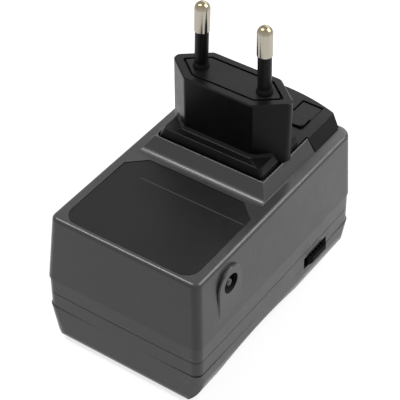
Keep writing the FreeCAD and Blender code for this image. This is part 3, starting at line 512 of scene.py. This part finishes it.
def roundedProfile(corners, steps):
    # open run of points through corners (radius, height, rounding), each rounded by a tangent arc of its
    # own rounding
    points = np.array([corner[:2] for corner in corners], float)
    run = [points[:1]]
    for before, here, after, (_, _, rounding) in zip(points, points[1:], points[2:], corners[1:]):
        if rounding == 0:
            run.append(here[None])
            continue
        back = (before - here) / np.linalg.norm(before - here)
        ahead = (after - here) / np.linalg.norm(after - here)
        half = math.acos(np.clip(back @ ahead, -1, 1)) / 2
        middle = here + (back + ahead) / np.linalg.norm(back + ahead) * rounding / math.sin(half)
        start = here + back * rounding / math.tan(half) - middle
        end = here + ahead * rounding / math.tan(half) - middle
        turn = math.pi - 2 * half
        share = np.linspace(0, 1, steps)[:, None]
        arc = np.sin((1 - share) * turn) * start + np.sin(share * turn) * end
        run.append(middle + arc / math.sin(turn))
    run.append(points[-1:])
    return np.concatenate(run)


def turnedPiece(name, node, profile, foot, axis, side, segments):
    # foot + height * axis + radius * (cos a * side + sin a * across), for a profile of (radius, height) in mm
    # and a turn a
    axis, side = np.array(axis, float), np.array(side, float)
    axis = axis / np.linalg.norm(axis)
    side = side - axis * (side @ axis)
    side = side / np.linalg.norm(side)
    across = np.cross(axis, side)
    turn = np.linspace(0, 2 * math.pi, segments, endpoint=False)
    ring = np.cos(turn)[:, None] * side + np.sin(turn)[:, None] * across
    radius, height = profile[:, None, :1] * mm, profile[:, None, 1:] * mm
    mesh = gridMesh(name, np.array(foot) + height * axis + radius * ring)
    piece = finishPiece(bpy.data.objects.new(name, mesh), node)
    evenShade(piece)
    return piece


pinSizes = {
    "diameter": 4.0, "length": 19.0, "metalLength": 8.3, "spacing": 18.6, "tipLean": 0.42,
    "coreDiameter": 2.5, "rootDepth": 15.4, "shoulderRounding": 0.25,
    "segments": 96, "shoulderSteps": 8, "domeSteps": 24,
}
sleeveSizes = {
    "diameter": 3.5, "bore": 2.6, "rootDepth": 9.2, "topGap": 0.05, "topRounding": 0.25,
    "collarDiameter": 4.3, "collarStart": 0.10, "collarHeight": 1.4,
    "collarRounding": 0.08, "collarBlend": 1.4, "segments": 96, "steps": 10,
}
metalLow = pinSizes["length"] - pinSizes["metalLength"]


def pinProfile(sizes):
    # thin core from the root up to the bare metal, then the full diameter up to a half-round tip
    radius, core = sizes["diameter"] / 2, sizes["coreDiameter"] / 2
    tipBase = sizes["length"] - radius
    stem = roundedProfile([
        (0, -sizes["rootDepth"], 0), (core, -sizes["rootDepth"], 0), (core, metalLow, 0),
        (radius, metalLow, sizes["shoulderRounding"]), (radius, tipBase, 0)], sizes["shoulderSteps"])
    dome = np.linspace(0, math.pi / 2, sizes["domeSteps"])[1:]
    cap = np.stack([radius * np.cos(dome), tipBase + radius * np.sin(dome)], axis=1)
    return np.concatenate([stem, cap])


def sleeveProfile(sizes):
    # closed wall from the bore out and back, with a collar at the plug face that blends into the sleeve
    radius, collar, bore = (sizes[key] / 2 for key in ("diameter", "collarDiameter", "bore"))
    low, top = -sizes["rootDepth"], metalLow - sizes["topGap"]
    return roundedProfile([
        (bore, low, 0), (radius, low, 0), (radius, sizes["collarStart"], 0),
        (collar, sizes["collarStart"], sizes["collarRounding"]),
        (radius, sizes["collarHeight"], sizes["collarBlend"]),
        (radius, top, sizes["topRounding"]), (bore, top, 0), (bore, low, 0)], sizes["steps"])


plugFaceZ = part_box("pin_carrier")[1].z
pinY = (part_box("pin_left")[0].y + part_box("pin_left")[1].y) / 2
for side, sign in (("left", -1), ("right", 1)):
    foot = (sign * pinSizes["spacing"] / 2 * mm, pinY, plugFaceZ)
    axis = (-sign * pinSizes["tipLean"], 0, pinSizes["length"])
    turnedPiece("plugPin_" + side, "pin_" + side, pinProfile(pinSizes),
                foot, axis, (1, 0, 0), pinSizes["segments"])
    turnedPiece("pinSleeve_" + side, "pin_sleeve_" + side, sleeveProfile(sleeveSizes),
                foot, axis, (1, 0, 0), sleeveSizes["segments"])
print("pins and sleeves done")

inletPin = {"diameter": 2.1, "tipRounding": 0.55, "segments": 64, "steps": 10}
low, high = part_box("dc_jack_pin")
radius = inletPin["diameter"] / 2
length = (high.x - low.x) / mm
profile = roundedProfile([
    (0, 0, 0), (radius, 0, 0), (radius, length, inletPin["tipRounding"]), (0, length, 0)], inletPin["steps"])
foot = (low.x, (low.y + high.y) / 2, (low.z + high.z) / 2)
piece = turnedPiece("inletPin", "dc_jack_pin", profile, foot, (1, 0, 0), (0, 1, 0), inletPin["segments"])
# the pin takes the dark metal: painted shade of the bore
piece.data.materials[0] = platedMetal("inletShadedMetal", inletShadedLook)
print("inlet pin done")

leafSpring = {"thickness": 0.3, "edgeBevel": 0.08, "steps": 48}
low, high = (np.array(corner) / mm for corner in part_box("button_spring"))
half, depth, bevel = (high[0] - low[0]) / 2, leafSpring["thickness"] / 2, leafSpring["edgeBevel"]
bow = (high[1] - low[1]) / 2
middle = np.array(((low[0] + high[0]) / 2, (low[1] + high[1]) / 2, high[2] - bow))
# a strip's section of (across, outward) points carried round a bow by a turn a:
# middle + across * x + (bow - depth + outward) * (sin a * y + cos a * z)
strip = np.array([
    (half - bevel, depth), (half, depth - bevel), (half, bevel - depth), (half - bevel, -depth),
    (bevel - half, -depth), (-half, bevel - depth), (-half, depth - bevel), (bevel - half, depth)])
reach = math.pi / 2 + math.asin((middle[2] - low[2]) / bow)
turn = np.linspace(-reach, reach, leafSpring["steps"])[:, None]
outward = bow - depth + strip[None, :, 1]
across = np.broadcast_to(strip[None, :, 0], (leafSpring["steps"], len(strip)))
grid = middle + np.stack([across, outward * np.sin(turn), outward * np.cos(turn)], axis=-1)
ends = grid[[0, -1]].mean(axis=1, keepdims=True).repeat(len(strip), axis=1)
grid = np.concatenate([ends[:1], grid, ends[1:]]) * mm
piece = bpy.data.objects.new("buttonSpring", gridMesh("buttonSpring", grid))
bpy.context.scene.collection.objects.link(piece)
piece.data.materials.append(finishes[slotOf["button_spring"]])
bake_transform(piece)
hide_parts("button_spring")
print("button spring done")


# Floor, light and camera

floorLook = {
    "size": 6.0, "points": 3, "drop": 0.00004, "glow": 0.78, "share": 0.30,
    "dark": grey(0.52), "light": grey(0.5304), "cloud": 0.4, "rough": 0.9,
}


def lightPathSum(tree):
    # 1 for rays from the camera, off gloss or through glass, 0 for the rest
    path = tree.nodes.new("ShaderNodeLightPath")
    first = tree.nodes.new("ShaderNodeMath")
    second = tree.nodes.new("ShaderNodeMath")
    first.operation = second.operation = "MAXIMUM"
    tree.links.new(path.outputs["Is Camera Ray"], first.inputs[0])
    tree.links.new(path.outputs["Is Glossy Ray"], first.inputs[1])
    tree.links.new(first.outputs["Value"], second.inputs[0])
    tree.links.new(path.outputs["Is Transmission Ray"], second.inputs[1])
    return second.outputs["Value"]


def floorWhite(look):
    # white with a faint shadow as the camera and gloss see it, and a pale board as it lights the object
    material = startMaterial("floorWhite")
    tree = material.node_tree
    shader = shaderOf(material)
    shader.inputs["Roughness"].default_value = look["rough"]
    shader.inputs["Specular IOR Level"].default_value = 0.0
    cloud = noiseField(material, look["cloud"])
    join(material, colourRange(material, cloud, look["dark"], look["light"]), shader.inputs["Base Color"])
    glow = addNode(material, "ShaderNodeEmission", Strength=look["glow"])
    lit = addNode(material, "ShaderNodeBsdfDiffuse", Color=(*grey(look["share"]), 1.0))
    white = addNode(material, "ShaderNodeAddShader")
    join(material, glow.outputs["Emission"], white.inputs[0])
    join(material, lit.outputs["BSDF"], white.inputs[1])
    mix = addNode(material, "ShaderNodeMixShader")
    join(material, lightPathSum(tree), mix.inputs["Fac"])
    join(material, shader.outputs["BSDF"], mix.inputs[1])
    join(material, white.outputs["Shader"], mix.inputs[2])
    join(material, mix.outputs["Shader"], tree.nodes["Material Output"].inputs["Surface"])
    return material


def paleFloor(look):
    # a flat square grid of points just under the object's lowest point
    count = look["points"]
    span = np.linspace(-look["size"] / 2, look["size"] / 2, count)
    x, y = np.meshgrid(span, span, indexing="xy")
    points = np.stack([x, y, np.full_like(x, cadLow.z - look["drop"])], axis=-1)
    index = np.arange(count * count).reshape(count, count)
    quads = np.stack([index[:-1, :-1], index[:-1, 1:], index[1:, 1:], index[1:, :-1]], axis=-1)
    mesh = bpy.data.meshes.new("paleFloor")
    mesh.from_pydata(points.reshape(-1, 3).tolist(), [], quads.reshape(-1, 4).tolist())
    floor = bpy.data.objects.new("paleFloor", mesh)
    bpy.context.scene.collection.objects.link(floor)
    floor.data.materials.append(floorWhite(look))


def studioWorld(ambient):
    # even white for the camera and for gloss, a weaker even light for the rest
    world = bpy.data.worlds.new("studioWorld")
    world.use_nodes = True
    tree = world.node_tree
    fill = tree.nodes["Background"]
    white = tree.nodes.new("ShaderNodeBackground")
    for background, strength in ((fill, ambient), (white, 1.0)):
        background.inputs["Color"].default_value = (1.0, 1.0, 1.0, 1.0)
        background.inputs["Strength"].default_value = strength
    mix = tree.nodes.new("ShaderNodeMixShader")
    tree.links.new(lightPathSum(tree), mix.inputs["Fac"])
    tree.links.new(fill.outputs["Background"], mix.inputs[1])
    tree.links.new(white.outputs["Background"], mix.inputs[2])
    tree.links.new(mix.outputs["Shader"], tree.nodes["World Output"].inputs["Surface"])
    bpy.context.scene.world = world


lamps = {
    "keySoftbox": {"towards": (0.56, 0.46, 0.69), "distance": 0.9, "size": (0.6, 0.6), "level": 1.0},
    "overheadStrip": {"towards": (-0.42, -0.22, 0.88), "distance": 0.9, "size": (0.50, 0.22), "level": 0.82},
    "backSoftbox": {"towards": (-0.15, 0.85, 0.50), "distance": 0.9, "size": (0.7, 0.5), "level": 0.26},
}
ambient = 0.06
lampAim = (0.0, 0.0, 0.03)


def placed(axes, place):
    # the matrix with three axes and a place as its columns
    return Matrix(np.vstack([np.column_stack([*axes, place]), (0, 0, 0, 1)]).tolist())


def softbox(name, lamp):
    # rectangular lamp that faces the aim point; level 1 lights a white card there to white
    direction = np.array(lamp["towards"], float)
    direction = direction / np.linalg.norm(direction)
    data = bpy.data.lights.new(name, "AREA")
    data.shape = "RECTANGLE"
    data.size, data.size_y = lamp["size"]
    data.energy = lamp["level"] * math.pi ** 2 * lamp["distance"] ** 2
    across = np.cross((0.0, 1.0, 0.0), direction)
    across = across / np.linalg.norm(across)
    upward = np.cross(direction, across)
    place = np.array(lampAim) + lamp["distance"] * direction
    piece = bpy.data.objects.new(name, data)
    piece.matrix_world = placed((across, upward, direction), place)
    bpy.context.scene.collection.objects.link(piece)


cameraView = {
    "azimuth": 34.115814, "elevation": 41.693531, "roll": 0.285080, "distance": 0.395394,
    "target": (0.0, 0.005, 0.025), "focalPixels": 1535.584, "middlePixel": (216.699, 206.4005),
    "framePixels": 400, "sensor": 36.0, "clipStart": 0.01,
}


def photoCamera(look):
    # looks back along (sin az cos el, -cos az cos el, sin el), turned by the roll, its middle pixel placed
    # by the shift
    azimuth, elevation, roll = (math.radians(look[key]) for key in ("azimuth", "elevation", "roll"))
    reach = math.cos(elevation)
    back = np.array((math.sin(azimuth) * reach, -math.cos(azimuth) * reach, math.sin(elevation)))
    level = np.array((math.cos(azimuth), math.sin(azimuth), 0.0))
    upright = np.cross(back, level)
    right = level * math.cos(roll) + upright * math.sin(roll)
    up = np.cross(back, right)
    place = np.array(look["target"]) + look["distance"] * back
    data = bpy.data.cameras.new("photoCamera")
    data.sensor_width = look["sensor"]
    data.lens = look["focalPixels"] * look["sensor"] / look["framePixels"]
    data.shift_x = 0.5 - look["middlePixel"][0] / look["framePixels"]
    data.shift_y = look["middlePixel"][1] / look["framePixels"] - 0.5
    data.clip_start = look["clipStart"]
    camera = bpy.data.objects.new("photoCamera", data)
    camera.matrix_world = placed((right, up, back), place)
    bpy.context.scene.collection.objects.link(camera)
    bpy.context.scene.camera = camera


paleFloor(floorLook)
studioWorld(ambient)
for name, lamp in lamps.items():
    softbox(name, lamp)
photoCamera(cameraView)
bpy.context.scene.view_settings.view_transform = "Standard"
print("stage, lamps and camera done")
